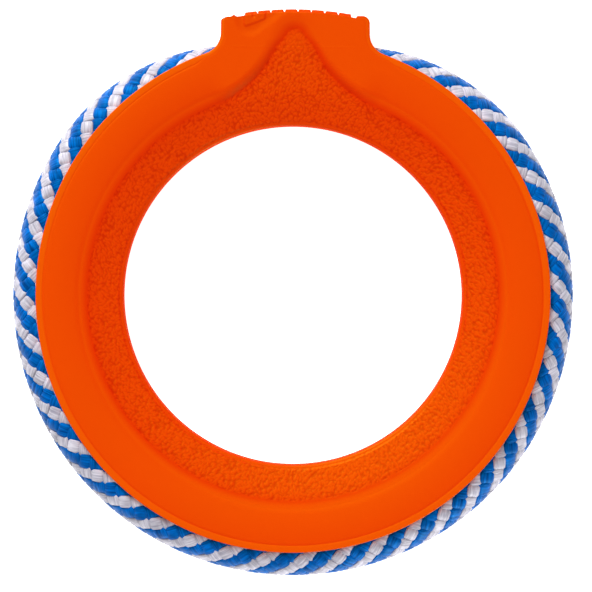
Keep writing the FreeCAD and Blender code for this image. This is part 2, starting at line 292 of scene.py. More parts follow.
# ---------------------------------------------------------------- height of the front face
def recess_distance(x, y):
    """How far a point is inside the top edge of the slope: the circle, the corner, the flank or the apex."""
    x = np.abs(x)
    radius = np.hypot(x, y)
    angle = np.arctan2(x, y)
    normal = np.array([math.sin(FLANK_ANGLE), math.cos(FLANK_ANGLE)])
    reach = SLOPE_TOP_RADIUS + CORNER_RADIUS
    corner = reach * np.array([math.sin(CORNER_CENTRE_ANGLE), math.cos(CORNER_CENTRE_ANGLE)])
    along_corner = -(x - corner[0]) * normal[1] + (y - corner[1]) * normal[0]
    along_apex = -x * normal[1] + (y - APEX_HEIGHT) * normal[0]
    corner_gap = np.hypot(x - corner[0], y - corner[1]) - CORNER_RADIUS
    flank_gap = APEX_RADIUS + normal[1] * APEX_HEIGHT - x * normal[0] - y * normal[1]
    apex_gap = APEX_RADIUS - np.hypot(x, y - APEX_HEIGHT)
    inner = np.where(along_corner < 0, corner_gap, np.where(along_apex < 0, flank_gap, apex_gap))
    return np.where(angle > CORNER_CENTRE_ANGLE, SLOPE_TOP_RADIUS - radius, inner)


def slope_ramp(share):
    """0 at the slope's foot to 1 at its top, rounded at both ends."""
    foot = np.sqrt(share**2 + SLOPE_FOOT_SOFT**2)
    top = np.sqrt((share - 1.0) ** 2 + SLOPE_TOP_SOFT**2)
    return np.clip((foot - top + 1.0 + 0.5 * (SLOPE_TOP_SOFT - SLOPE_FOOT_SOFT)) / 2, 0.0, 1.0)


def scoop_share(x, y):
    """1 inside the dish at the tab's left corner and 0 outside, with a soft lip."""
    tail_x, tail_y = SCOOP_TAIL[0] - SCOOP_CENTRE[0], SCOOP_TAIL[1] - SCOOP_CENTRE[1]
    touch = math.atan2(tail_y, tail_x) - math.acos(SCOOP_RADIUS / math.hypot(tail_x, tail_y))
    right, up = x - SCOOP_CENTRE[0], y - SCOOP_CENTRE[1]
    along = up * math.cos(touch) - right * math.sin(touch)
    beyond = SCOOP_RADIUS - right * math.cos(touch) - up * math.sin(touch)
    dish = SCOOP_RADIUS - np.hypot(right, np.minimum(up, 0.0))
    tail_side = (along > 0) & (right > 0)
    return smooth(np.where(tail_side, beyond, dish) / SCOOP_SOFT + 0.25)


def pad_share(x, y):
    """1 on the plain pad that stands in the dish and 0 off it, with a slanted lower edge and a short slot."""
    across = np.clip((x - PAD_OUTER - 1.0) / (PAD_INNER - PAD_OUTER - 2.0), 0, 1)
    low = PAD_LOW + (PAD_HIGH - PAD_LOW) * across
    beside = np.minimum(x - PAD_OUTER, PAD_INNER - x)
    below = y - low
    past_side = np.clip(PAD_CORNER - beside, 0, None)
    past_low = np.clip(PAD_CORNER - below, 0, None)
    corner = PAD_CORNER - np.hypot(past_side, past_low)
    slot = np.maximum(np.abs(x - PAD_SLOT) - PAD_SLOT_HALF, PAD_SLOT_LOW - y)
    return smooth(np.minimum(corner, slot) / 0.8 + 0.4)


def slope_width(y, angle):
    """The slope's width on the ring, on the spire's flanks and at its apex."""
    on_flank = smooth((CORNER_CENTRE_ANGLE - angle) / CORNER_BLEND_ANGLE)
    width = SLOPE_WIDTH + (FLANK_SLOPE_WIDTH - SLOPE_WIDTH) * on_flank
    return width + (APEX_SLOPE_WIDTH - width) * smooth((y - APEX_HEIGHT + 4.0) / 6.0)


def valley(x, y):
    """The texture's valleys, only on the floor of the recess, and fainter towards the spire's point."""
    inside = recess_distance(x, y) - slope_width(y, np.abs(np.arctan2(x, y)))
    fade = smooth(inside / 0.6 + 0.7) * smooth((np.hypot(x, y) - HOLE_RADIUS - 0.8) / 1.2)
    return worm_depth(x, y) * fade * (1.0 - 0.4 * smooth((y - 94.0) / 16.0))


def bevel_width(angle):
    """The rim bevel's width, and 0 on the ring to 1 on the tab."""
    at_tab = smooth((TAB_HALF_ANGLE - angle) / TAB_BLEND_ANGLE)
    return BEVEL_WIDTH + (TAB_BEVEL_WIDTH - BEVEL_WIDTH) * at_tab, at_tab


def face_height(x, y, edge, side):
    """The front face's height over the middle plane: web, slope, flange, bevel, rounded edge and scoop."""
    radius = np.hypot(x, y)
    angle = np.abs(np.arctan2(x, y))
    beyond_foot = radius - FOOT_RADIUS
    web_soft = 0.3 + WEB_TO_SPIRE_SOFT * smooth((0.46 - angle) / 0.3)
    inwards = (np.sqrt(beyond_foot**2 + web_soft**2) - beyond_foot) / 2
    web = FOOT_HALF - (FOOT_HALF - WEB_EDGE_HALF) * inwards / (FOOT_RADIUS - HOLE_RADIUS - HOLE_ROUND)
    web = web + SPIRE_RISE * smooth((radius - FOOT_RADIUS) / (APEX_HEIGHT - FOOT_RADIUS))
    depth = recess_distance(x, y)
    ring_part = 1.0 - smooth((TAB_HALF_ANGLE - angle) / math.radians(7.0))
    crest_reach = FLANGE_CREST_RADIUS - SLOPE_TOP_RADIUS
    from_crest = (radius - FLANGE_CREST_RADIUS) / crest_reach
    outermost = (RIM_RADIUS - BEVEL_WIDTH - FLANGE_CREST_RADIUS) / crest_reach
    flange = FLANGE_HALF - FLANGE_CROWN * ring_part * np.clip(from_crest, -1, outermost) ** 2
    width = slope_width(y, angle)
    ramp = slope_ramp(1.0 - depth / width)
    height = web + (flange - web) * ramp
    height = height - WORM_HEIGHT * valley(x, y)
    bevel, at_tab = bevel_width(angle)
    share = np.clip(1.0 - edge / bevel, 0, 1)
    drop = (BEVEL_DROP + (TAB_BEVEL_DROP - BEVEL_DROP) * at_tab) * (0.35 * share + 0.65 * share**2)
    step = BEVEL_STEP * (1.0 - 0.5 * at_tab) * np.exp(-(((edge - bevel) / BEVEL_STEP_WIDTH) ** 2))
    height = height - side * (drop + step)
    rounding = CROWN_ROUND + (EDGE_ROUND - CROWN_ROUND) * side
    lean = np.clip(rounding - edge, 0, None)
    height = height - (rounding - np.sqrt(np.clip(rounding**2 - lean**2, 0, None)))
    lowered = SCOOP_DEPTH * scoop_share(x, y) * (1.0 - pad_share(x, y))
    return height - lowered


# ---------------------------------------------------------------- patches of the front face
EDGE_STEPS = np.array([
    0, 0.03, 0.1, 0.22, 0.38, 0.6, 0.9, 1.2, 1.5, 1.8, 2.05, 2.25, 2.5, 2.75, 3.0, 3.25, 3.6,
])


def web_patch(angles):
    """From the hole's middle plane, over its rounded edge and out to the foot of the slope."""
    turn = np.linspace(math.pi, math.pi / 2, 7)
    radii = np.concatenate([
        [HOLE_RADIUS] * 3,
        HOLE_RADIUS + HOLE_ROUND + HOLE_ROUND * np.cos(turn),
        np.linspace(HOLE_RADIUS + HOLE_ROUND, FOOT_RADIUS, WEB_ROWS)[1:],
    ])
    x = np.sin(angles)[:, None] * radii
    y = np.cos(angles)[:, None] * radii
    z = np.zeros_like(x)
    z[:, :3] = [0.0, HOLE_LAND_HALF / 2, HOLE_LAND_HALF - 0.4]
    z[:, 3:10] = HOLE_LAND_HALF + (WEB_EDGE_HALF - HOLE_LAND_HALF) * np.sin(turn)
    edge = np.full_like(x[:, 10:], 50.0)
    z[:, 10:] = face_height(x[:, 10:], y[:, 10:], edge, np.ones_like(edge))
    return np.stack([x, y, z], 2)


def outer_patch(angles, rim):
    """From the foot of the slope to the outline, with close rows at the slope and along the edge."""
    foot = FOOT_RADIUS * np.stack([np.sin(angles), np.cos(angles)], 1)
    span = np.hypot(*(rim - foot).T)
    even = np.linspace(0, 1, OUTER_ROWS)
    clustered = 0.55 * even + 0.45 * even**2.2
    from_top = np.abs((angles + math.pi) % (2 * math.pi) - math.pi)
    tab = smooth((TAB_HALF_ANGLE - from_top) / math.radians(6.0))
    spread = clustered + (even - clustered) * tab[:, None]
    inner = spread * (span - EDGE_STEPS[-1])[:, None]
    close = span[:, None] - EDGE_STEPS[-2::-1]
    share = np.concatenate([inner, close], 1) / span[:, None]
    x = foot[:, :1] + (rim - foot)[:, :1] * share
    y = foot[:, 1:] + (rim - foot)[:, 1:] * share
    edge, side = edge_distance(x, y)
    edge[:, -1] = 0.0
    z = face_height(x, y, edge, side)
    return np.stack([x, y, z], 2)


# ---------------------------------------------------------------- blocks on the crown
def block_relief(x, z):
    """How far the crown's outer wall stands out at a place, from the row of equal blocks."""
    nearest = (x - BLOCK_OFFSET) / BLOCK_PITCH + BLOCK_COUNT / 2
    index = np.clip(np.floor(nearest), 0, BLOCK_COUNT - 1)
    centre = (index - BLOCK_COUNT / 2 + 0.5) * BLOCK_PITCH + BLOCK_OFFSET
    across = smooth((BLOCK_WIDTH / 2 - np.abs(x - centre)) / BLOCK_SOFT + 0.5)
    along = smooth((BLOCK_HALF - np.abs(z)) / BLOCK_SOFT + 0.5)
    return BLOCK_RELIEF * across * along


def line_normals(line):
    """Unit vectors across a line, to the left of its direction."""
    step = np.gradient(line, axis=0)
    step /= np.hypot(*step.T)[:, None]
    return np.stack([-step[:, 1], step[:, 0]], 1)


# ---------------------------------------------------------------- rope centreline
def rope_section(x, y):
    """The centreline's nearest point to a place beside it, and the direction away from its arc's centre."""
    side = np.where(x < 0, -1.0, 1.0)
    away = np.stack([x - side * BEND_X, y - BEND_Y], -1)
    reach = np.hypot(away[..., 0], away[..., 1])
    on_bend = np.arctan2(away[..., 1], away[..., 0] * side) > math.atan2(BEND_Y, BEND_X)
    bend_out = away / reach[..., None]
    bend_at = np.stack([side * BEND_X, np.full_like(x, BEND_Y)], -1) + ROPE_BEND_RADIUS * bend_out
    radius = np.hypot(x, y)
    ring_out = np.stack([x / radius, y / radius], -1)
    pick = on_bend[..., None]
    return np.where(pick, bend_at, ROPE_RING_RADIUS * ring_out), np.where(pick, bend_out, ring_out)


def channel_wall(rim, front, back):
    """The wall where the rope lies: lip, underside of the lip, half a tube, and the same again."""
    centre, out = rope_section(rim[:, 0], rim[:, 1])
    beyond = ((rim - centre) * out).sum(1)
    start = math.pi / 2 + np.arcsin(np.clip(-beyond / CHANNEL_RADIUS, 0, 1))
    shelf = CHANNEL_RADIUS * np.sin(start)
    turns = WALL_ROWS - 2 * (LIP_ROWS + SHELF_ROWS)
    share = np.linspace(0, 1, turns + 1)
    angle = start[:, None] + (2 * math.pi - 2 * start)[:, None] * share
    tube = centre[:, None] + CHANNEL_RADIUS * np.cos(angle)[..., None] * out[:, None]
    tube_z = CHANNEL_RADIUS * np.sin(angle)
    lip = np.linspace(0, 1, LIP_ROWS + 1)[:-1]
    ledge = np.linspace(0, 1, SHELF_ROWS + 1)[:-1]
    lip_xy = np.repeat(rim[:, None], LIP_ROWS, 1)
    shelf_xy = rim[:, None] + (tube[:, :1] - rim[:, None]) * ledge[None, :, None]
    low_xy = rim[:, None] + (tube[:, -1:] - rim[:, None]) * ledge[None, ::-1, None]
    xy = np.concatenate([lip_xy, shelf_xy, tube, low_xy, lip_xy], 1)
    z = np.concatenate([
        front[:, None] + (shelf - front)[:, None] * lip,
        np.repeat(shelf[:, None], SHELF_ROWS, 1),
        tube_z,
        -np.repeat(shelf[:, None], SHELF_ROWS, 1),
        (back[:, None] + (-shelf - back)[:, None] * lip)[:, ::-1],
    ], 1)
    return np.concatenate([xy, z[..., None]], 2)


def crown_wall(rim, back_rim, normal, front, back):
    """The tab's outer wall from face to face, with the blocks standing out of it."""
    share = np.concatenate([[0.0], np.linspace(0.003, 0.997, WALL_ROWS - 1), [1.0]])
    z = front[:, None] + (back - front)[:, None] * share
    line = rim[:, None] + (back_rim - rim)[:, None] * share[:, None]
    relief = block_relief(line[..., 0], z) * smooth((EAR_INNER + 0.5 - np.abs(line[..., 0])) / 0.5)
    relief[:, [0, -1]] = 0.0
    relief[:, [1, -2]] *= 0.8
    xy = line + normal[:, None] * relief[..., None]
    return np.concatenate([xy, z[..., None]], 2)


def mark_painted_light_and_gloss(mesh):
    """Stores each point's tone with painted light: painted shade in the texture's valleys, the slope's crease
    and the scoop, painted highlights on the slope's top edge and the rim band, a lighter painted wall in the
    hole; and its gloss.
    """
    place = np.empty(len(mesh.vertices) * 3, np.float32)
    mesh.vertices.foreach_get("co", place)
    x, y, z = (place.reshape(-1, 3) / MM).astype(float).T
    x = x * np.sign(z + 1e-9)
    radius = np.hypot(x, y)
    depth = recess_distance(x, y)
    # painted shade along the crease at the slope's foot
    past_foot = depth - 0.93 * slope_width(y, np.abs(np.arctan2(x, y)))
    inward = np.exp(-past_foot / CREASE_INWARD)
    outward = np.exp(-((past_foot / CREASE_OUTWARD) ** 2))
    crease = np.where(past_foot > 0, inward, outward)
    # painted highlight along the slope's top edge
    brow = np.exp(-(((depth - BROW_DEPTH) / BROW_WIDTH) ** 2))
    # painted highlight on the rim's bevel band, a little weaker on the tab
    near_rim = (np.abs(z) > FLANGE_HALF - 1.5) & (radius > RIM_RADIUS - BEVEL_WIDTH - 1.0)
    rim = np.zeros_like(x)
    edge, side = edge_distance(x[near_rim], y[near_rim])
    bevel, at_tab = bevel_width(np.abs(np.arctan2(x[near_rim], y[near_rim])))
    rim[near_rim] = smooth((bevel - edge) / 0.5) * side * (1.0 - 0.2 * at_tab)
    on_face = np.abs(z) > HOLE_LAND_HALF + 0.4
    # painted light on the hole's wall and its rounded edge, lighter than the plain faces
    wall = 1.0 - smooth((np.abs(z) - HOLE_LAND_HALF) / (WEB_EDGE_HALF - HOLE_LAND_HALF))
    # painted highlights on the slope's top edge and on the rim band
    painted_highlight = BROW_PAINTED_HIGHLIGHT * brow + RIM_PAINTED_HIGHLIGHT * rim
    # painted shade in the crease and in the scoop
    painted_shade = CREASE_PAINTED_SHADE * crease + SCOOP_PAINTED_SHADE * scoop_share(x, y)
    # painted shade in the texture's valleys, down to tone 0 at their floor
    tone_and_painted_light = PLAIN_TONE * (1.0 - valley(x, y)) + on_face * (painted_highlight - painted_shade)
    tone_and_painted_light = tone_and_painted_light * (1.0 - wall) + WALL_PAINTED_LIGHT * wall
    gloss = PLAIN_GLOSS * (1.0 - wall) * (1.0 - 0.5 * crease)
    for name, values in (("tone_and_painted_light", np.clip(tone_and_painted_light, 0, 1)), ("gloss", gloss)):
        layer = mesh.attributes.new(name, "FLOAT", "POINT")
        layer.data.foreach_set("value", values.astype(np.float32))


# ---------------------------------------------------------------- one closed mesh
class Shell:
    """Gathers patches of points, and joins them into one mesh where their borders meet."""

    def __init__(self):
        self.points = []
        self.faces = []
        self.count = 0

    def add_points(self, points):
        start = self.count
        self.points.append(points.reshape(-1, 3))
        self.count += points.size // 3
        return start + np.arange(points.size // 3).reshape(points.shape[:-1])

    def add_grid(self, points):
        index = self.add_points(points)
        quads = np.stack([index[:-1, :-1], index[1:, :-1], index[1:, 1:], index[:-1, 1:]], -1)
        self.faces.extend(quads.reshape(-1, 4).tolist())
        return index

    def object(self, name):
        mesh = bpy.data.meshes.new(name)
        mesh.from_pydata((np.concatenate(self.points) * MM).tolist(), [], self.faces)
        work = bmesh.new()
        work.from_mesh(mesh)
        bmesh.ops.remove_doubles(work, verts=work.verts, dist=1e-6)
        bmesh.ops.dissolve_degenerate(work, edges=work.edges, dist=1e-7)
        bmesh.ops.recalc_face_normals(work, faces=work.faces)
        work.to_mesh(mesh)
        work.free()
        mesh.polygons.foreach_set("use_smooth", [True] * len(mesh.polygons))
        mark_painted_light_and_gloss(mesh)
        piece = bpy.data.objects.new(name, mesh)
        bpy.context.scene.collection.objects.link(piece)
        return piece


def turned(points):
    """The same points on the back, which is the front turned half a turn about the Y axis."""
    return points * [-1, 1, -1]


def make_ring():
    shell = Shell()
    coarse_angles = ring_angles[::2]
    coarse_rim = RIM_RADIUS * np.stack([np.sin(coarse_angles), np.cos(coarse_angles)], 1)
    web_ring = web_patch(ring_angles)
    web_tab = web_patch(tab_angles)
    outer_ring = outer_patch(coarse_angles, coarse_rim)
    outer_tab = outer_patch(tab_angles, tab_rim)
    web_tab[:, -1] = outer_tab[:, 0]
    web_ring[::2, -1] = outer_ring[:, 0]
    web_ring[1::2, -1, 2] = (web_ring[:-1:2, -1, 2] + web_ring[2::2, -1, 2]) / 2
    for flip in (lambda points: points, turned):
        shell.add_grid(flip(web_tab))
        shell.add_grid(flip(outer_tab))
        fine = shell.add_grid(flip(web_ring))[:, -1]
        coarse = shell.add_grid(flip(outer_ring[:, 1:]))[:, 0]
        for column in range(len(coarse) - 1):
            shell.faces.append([
                int(fine[2 * column]), int(fine[2 * column + 1]), int(fine[2 * column + 2]),
                int(coarse[column + 1]), int(coarse[column]),
            ])
    ring_edge = outer_ring[:, -1]
    shell.add_grid(channel_wall(ring_edge[:, :2], ring_edge[:, 2], -ring_edge[::-1, 2]))
    tab_edge = outer_tab[:, -1]
    front = tab_edge[:, 2]
    back = -tab_edge[::-1, 2]
    normal = line_normals(tab_rim)
    in_flare = np.abs(tab_rim[:, 0]) > MOUTH_OFFSET
    low = int(np.argmin(in_flare))
    high = len(tab_rim) - low
    left_wall = channel_wall(tab_rim[: low + 1], front[: low + 1], back[: low + 1])
    right_wall = channel_wall(tab_rim[high - 1 :], front[high - 1 :], back[high - 1 :])
    back_rim = tab_rim[::-1] * [-1, 1]
    between = slice(low, high)
    crown = crown_wall(tab_rim[between], back_rim[between], normal[between], front[between], back[between])
    shelf = LIP_ROWS + SHELF_ROWS
    crown_edge = slice(0, LIP_ROWS + 1)
    for wall, end in ((left_wall, 0), (right_wall, -1)):
        mouth = wall[-1] if end == 0 else wall[0]
        crown[end, crown_edge] = mouth[crown_edge]
        crown[end, -LIP_ROWS - 1 :] = mouth[-LIP_ROWS - 1 :]
        top, bottom = mouth[LIP_ROWS], mouth[-LIP_ROWS - 1]
        fall = np.linspace(0, 1, WALL_ROWS + 1 - 2 * LIP_ROWS)[:, None]
        crown[end, LIP_ROWS : WALL_ROWS + 1 - LIP_ROWS] = top + (bottom - top) * fall
        shell.add_grid(wall)
        # the blind socket beyond the mouth, and the tab's wall round its opening
        inner = mouth[shelf : WALL_ROWS + 1 - shelf]
        centre, out = (part[0] for part in rope_section(mouth[:1, 0], mouth[:1, 1]))
        outer_turn = np.linspace(math.pi / 2, -math.pi / 2, len(inner))
        reach = min(CHANNEL_RADIUS, float((mouth[0, :2] - centre) @ out) - SOCKET_WALL)
        outer = np.zeros_like(inner)
        outer[:, :2] = centre + reach * np.cos(outer_turn)[:, None] * out
        outer[:, 2] = CHANNEL_RADIUS * np.sin(outer_turn)
        middle = mouth[LIP_ROWS : WALL_ROWS + 1 - LIP_ROWS].copy()
        middle[SHELF_ROWS : len(middle) - SHELF_ROWS] = outer
        shell.add_grid(np.stack([middle, crown[end, LIP_ROWS : WALL_ROWS + 1 - LIP_ROWS]]))
        deep = math.copysign(SOCKET_OFFSET, mouth[shelf, 0])
        bottoms = []
        for half in (inner, outer):
            bottoms.append(half * [0, 1, 1] + [deep, 0, 0])
            step = np.linspace(0, 1, SOCKET_ROWS)[:, None, None]
            shell.add_grid(half + (bottoms[-1] - half) * step)
        shell.add_grid(np.stack(bottoms))
    shell.add_grid(crown)
    return shell.object("ring_moulding")


# ---------------------------------------------------------------- braided rope
STRAND_COUNT = 8
BRAID_TURN = 11.0
BRAID_PHASE = 0.2
STRAND_MID_RADIUS = 7.8
STRAND_WAVE = 0.55
STRAND_HALF_THICKNESS = 0.94
BLUE_HALF_WIDTH = 3.05
WHITE_HALF_WIDTH = 2.6
STRAND_SQUARE = 0.5
WAVE_ANGLE = 360.0 / (STRAND_COUNT * BRAID_TURN)
WAVE_FLATTEN = 1.5
SAMPLES_PER_WAVE = 10
SECTION_COUNT = 18

bend_angle = math.atan2(BEND_Y, BEND_X)
main_run = ROPE_RING_RADIUS * (math.pi + 2 * bend_angle)
bend_run = ROPE_BEND_RADIUS * (math.pi / 2 - bend_angle)
straight_run = BEND_X - ROPE_END_OFFSET
rope_half_run = main_run / 2 + bend_run + straight_run


def rope_frame(run):
    """The centreline and its outward direction at runs from the lowest point, positive towards +X."""
    side = np.sign(run)
    along = np.abs(run)
    on_ring = along < main_run / 2
    on_bend = (along >= main_run / 2) & (along < main_run / 2 + bend_run)
    ring_angle = -math.pi / 2 + along / ROPE_RING_RADIUS
    bend_at = bend_angle + (along - main_run / 2) / ROPE_BEND_RADIUS
    angle = np.where(on_ring, ring_angle, np.where(on_bend, bend_at, math.pi / 2))
    radius = np.where(on_ring, ROPE_RING_RADIUS, ROPE_BEND_RADIUS)
    x = radius * np.cos(angle) + np.where(on_ring, 0.0, BEND_X)
    y = radius * np.sin(angle) + np.where(on_ring, 0.0, BEND_Y)
    beyond = np.clip(along - main_run / 2 - bend_run, 0, None)
    x = x - beyond
    return side * x, y, side * np.cos(angle), np.sin(angle)


def strand_points(turn, phase, half_width):
    """Rings of points round one strand: it winds round the core, over one strand and under the next."""
    limit = math.degrees(rope_half_run / ROPE_RING_RADIUS)
    count = int(2 * limit / WAVE_ANGLE * SAMPLES_PER_WAVE)
    theta = np.linspace(-limit, limit, count + 1)
    # theta is counted round from +X as on the ring itself, so the lowest point is at 270 degrees
    shifted = theta + 270.0 - BRAID_PHASE
    crossing = np.clip(WAVE_FLATTEN * np.cos(2 * math.pi * shifted / WAVE_ANGLE), -1, 1)
    wave = -math.copysign(1.0, turn) * np.sin(math.pi / 2 * crossing)
    around = turn * shifted + phase
    corner = np.linspace(0, 2 * math.pi, SECTION_COUNT, endpoint=False)
    lateral = half_width * np.sign(np.cos(corner)) * np.abs(np.cos(corner)) ** STRAND_SQUARE
    lift = STRAND_HALF_THICKNESS * np.sign(np.sin(corner)) * np.abs(np.sin(corner)) ** STRAND_SQUARE
    mid = STRAND_MID_RADIUS + STRAND_WAVE * wave[:, None]
    radius = mid + lift[None, :]
    axial = ROPE_RING_RADIUS + mid * np.cos(np.radians(around))[:, None]
    circum = mid * turn
    norm = np.hypot(axial, circum)
    d_theta = -circum / norm * lateral[None, :] / axial
    d_around = axial / norm * lateral[None, :] / mid
    theta_all = np.radians(theta)[:, None] + d_theta
    around_all = np.radians(around)[:, None] + d_around
    run = np.clip(theta_all * ROPE_RING_RADIUS, -rope_half_run, rope_half_run)
    x, y, out_x, out_y = rope_frame(run)
    points = np.stack([
        x + radius * np.cos(around_all) * out_x,
        y + radius * np.cos(around_all) * out_y,
        radius * np.sin(around_all),
    ], -1)
    return points, theta


def make_strand(name, turn, phase, half_width):
    """One closed strand, with a UV map that runs along it in millimetres and once round it."""
    points, theta = strand_points(turn, phase, half_width)
    rings, corners = points.shape[:2]
    index = np.arange(rings * corners).reshape(rings, corners)
    following = np.roll(index, -1, axis=1)
    quads = np.stack([index[:-1], index[1:], following[1:], following[:-1]], -1).reshape(-1, 4)
    faces = quads.tolist() + [index[0].tolist(), index[-1][::-1].tolist()]
    mesh = bpy.data.meshes.new(name)
    mesh.from_pydata((points.reshape(-1, 3) * MM).tolist(), [], faces)
    layer = mesh.uv_layers.new(name="UVMap")
    around = np.linspace(0, 1, corners, endpoint=False)
    u = np.broadcast_to(np.radians(theta)[:, None] * ROPE_RING_RADIUS, (rings, corners))
    v = np.broadcast_to(around[None, :], (rings, corners))
    loops_u = np.stack([u[:-1], u[1:], np.roll(u, -1, 1)[1:], np.roll(u, -1, 1)[:-1]], -1).reshape(-1)
    high = np.where(np.roll(v, -1, 1) < v, 1.0, np.roll(v, -1, 1))
    loops_v = np.stack([v[:-1], v[1:], high[1:], high[:-1]], -1).reshape(-1)
    uv = np.zeros((len(mesh.loops), 2))
    uv[: len(loops_u), 0] = loops_u
    uv[: len(loops_v), 1] = loops_v
    layer.data.foreach_set("uv", uv.reshape(-1))
    work = bmesh.new()
    work.from_mesh(mesh)
    bmesh.ops.recalc_face_normals(work, faces=work.faces)
    work.to_mesh(mesh)
    work.free()
    mesh.polygons.foreach_set("use_smooth", [True] * len(mesh.polygons))
    piece = bpy.data.objects.new(name, mesh)
    bpy.context.scene.collection.objects.link(piece)
    return piece


# ---------------------------------------------------------------- materials
# the rubber's colours: the valley colour is painted shade, the plain colour is the rubber's own, the edge
# colour is a painted highlight
RUBBER_VALLEY_SHADE = (0.59, 0.004, 0.0002)
RUBBER_PLAIN = (0.75, 0.0258, 0.0004)
RUBBER_EDGE_HIGHLIGHT = (0.79, 0.070, 0.0006)
# yarn colours: the light ends are partly painted sheen of the shiny filaments, partly the yarn's own lighter
# streaks
BLUE_DARK, BLUE_LIGHT, BLUE_TINT = (0.0, 0.042, 0.21), (0.0, 0.14, 0.56), (0.0, 0.5, 1.0)
WHITE_DARK, WHITE_LIGHT, WHITE_TINT = (0.35, 0.335, 0.42), (0.65, 0.63, 0.70), (1.0, 1.0, 1.0)
FILLER_DARK, FILLER_LIGHT = (0.55, 0.55, 0.57), (0.78, 0.78, 0.80)
GLUE_DARK, GLUE_LIGHT = (0.62, 0.55, 0.38), (0.74, 0.68, 0.5)
BLUELESS = (1.0, 1.0, 0.0)


class Finish:
    """A material under construction: each method adds one node and returns the socket it gives."""

    def __init__(self, name):
        self.material = bpy.data.materials.new(name)
        self.material.use_nodes = True
        self.nodes = self.material.node_tree.nodes
        self.shader = self.nodes["Principled BSDF"]

    def link(self, source, target):
        self.material.node_tree.links.new(source, target)

    def place(self, kind):
        return self.nodes.new("ShaderNodeTexCoord").outputs[kind]

    def stored(self, name):
        node = self.nodes.new("ShaderNodeAttribute")
        node.attribute_name = name
        return node.outputs["Fac"]

    def noise(self, place, scale, detail, distortion=0.0):
        node = self.nodes.new("ShaderNodeTexNoise")
        node.inputs["Scale"].default_value = scale
        node.inputs["Detail"].default_value = detail
        node.inputs["Distortion"].default_value = distortion
        self.link(place, node.inputs["Vector"])
        return node.outputs["Fac"]

    def spread(self, value, low, high, start=0.0, end=1.0):
        node = self.nodes.new("ShaderNodeMapRange")
        node.inputs["From Min"].default_value = start
        node.inputs["From Max"].default_value = end
        node.inputs["To Min"].default_value = low
        node.inputs["To Max"].default_value = high
        self.link(value, node.inputs["Value"])
        return node.outputs["Result"]

    def ramp(self, value, dark, light, start=0.0, end=1.0, middle=None):
        node = self.nodes.new("ShaderNodeValToRGB")
        elements = node.color_ramp.elements
        elements[0].position, elements[0].color = start, (*dark, 1)
        elements[1].position, elements[1].color = end, (*light, 1)
        if middle:
            elements.new(PLAIN_TONE).color = (*middle, 1)
        self.link(value, node.inputs["Fac"])
        return node.outputs["Color"]

    def shade(self, colour, value):
        node = self.nodes.new("ShaderNodeHueSaturation")
        self.link(colour, node.inputs["Color"])
        self.link(value, node.inputs["Value"])
        return node.outputs["Color"]

    def bump(self, height, strength, distance, normal=None):
        node = self.nodes.new("ShaderNodeBump")
        node.inputs["Strength"].default_value = strength
        node.inputs["Distance"].default_value = distance
        self.link(height, node.inputs["Height"])
        if normal:
            self.link(normal, node.inputs["Normal"])
        return node.outputs["Normal"]

    def math(self, operation, first, second=None):
        node = self.nodes.new("ShaderNodeMath")
        node.operation = operation
        for socket, value in zip(node.inputs, (first, second)):
            if isinstance(value, float):
                socket.default_value = value
            elif value:
                self.link(value, socket)
        return node.outputs["Value"]

    def finished(self, colour, roughness, normal, tint=None):
        self.link(colour, self.shader.inputs["Base Color"])
        self.link(roughness, self.shader.inputs["Roughness"])
        self.link(normal, self.shader.inputs["Normal"])
        if tint:
            self.shader.inputs["Specular Tint"].default_value = (*tint, 1)
        return self.material


def seam_mark(finish, place):
    """1 on the fine mould line that crosses the tab, falling to 0 beside it and at its ends."""
    split = finish.nodes.new("ShaderNodeSeparateXYZ")
    finish.link(place, split.inputs["Vector"])
    marks = []
    lines = (("Y", SEAM_Y, SEAM_HALF_WIDTH, SEAM_HALF_WIDTH), ("X", 0.0, SEAM_HALF_LENGTH, SEAM_END_SOFT))
    for axis, middle, reach, soft in lines:
        offset = finish.math("SUBTRACT", split.outputs[axis], middle * MM)
        away = finish.math("ABSOLUTE", offset)
        marks.append(finish.spread(away, 1.0, 0.0, (reach - soft) * MM, reach * MM))
    return finish.math("MULTIPLY", *marks)


def rubber_material():
    finish = Finish("moulded_rubber")
    place = finish.place("Object")
    patches = finish.noise(place, 38.0, 3.0)
    # the colour follows the stored tone and so carries its painted shade and painted highlights
    colour = finish.ramp(finish.stored("tone_and_painted_light"), RUBBER_VALLEY_SHADE, RUBBER_EDGE_HIGHLIGHT, middle=RUBBER_PLAIN)
    colour = finish.shade(colour, finish.spread(patches, 0.97, 1.02))
    grain = finish.bump(finish.noise(place, 2600.0, 2.0), 0.5, 0.00008)
    normal = finish.bump(seam_mark(finish, place), 0.5, 0.00006, grain)
    finish.link(finish.stored("gloss"), finish.shader.inputs["Specular IOR Level"])
    return finish.finished(colour, finish.spread(patches, 0.46, 0.52), normal, BLUELESS)


def yarn_material(name, dark, light, tint):
    """Bundled shiny filaments: fine lines along the strand, from the strand's own UV map; the lines' lighter
    parts are partly painted sheen and partly the yarn's own streaks.
    """
    finish = Finish(name)
    mapping = finish.nodes.new("ShaderNodeMapping")
    mapping.inputs["Scale"].default_value = (0.16, 46.0, 1.0)
    finish.link(finish.place("UV"), mapping.inputs["Vector"])
    fibre = finish.noise(mapping.outputs["Vector"], 1.0, 3.0, 0.35)
    patches = finish.noise(finish.place("Object"), 190.0, 1.0)
    # the fibre lines' light parts: partly painted sheen, partly the yarn's own streaks
    colour = finish.ramp(fibre, dark, light, 0.34, 0.64)
    colour = finish.shade(colour, finish.spread(patches, 0.8, 1.15, 0.3, 0.7))
    finish.shader.inputs["Specular IOR Level"].default_value = 0.5
    return finish.finished(colour, finish.spread(fibre, 0.52, 0.36), finish.bump(fibre, 0.8, 0.00025), tint)


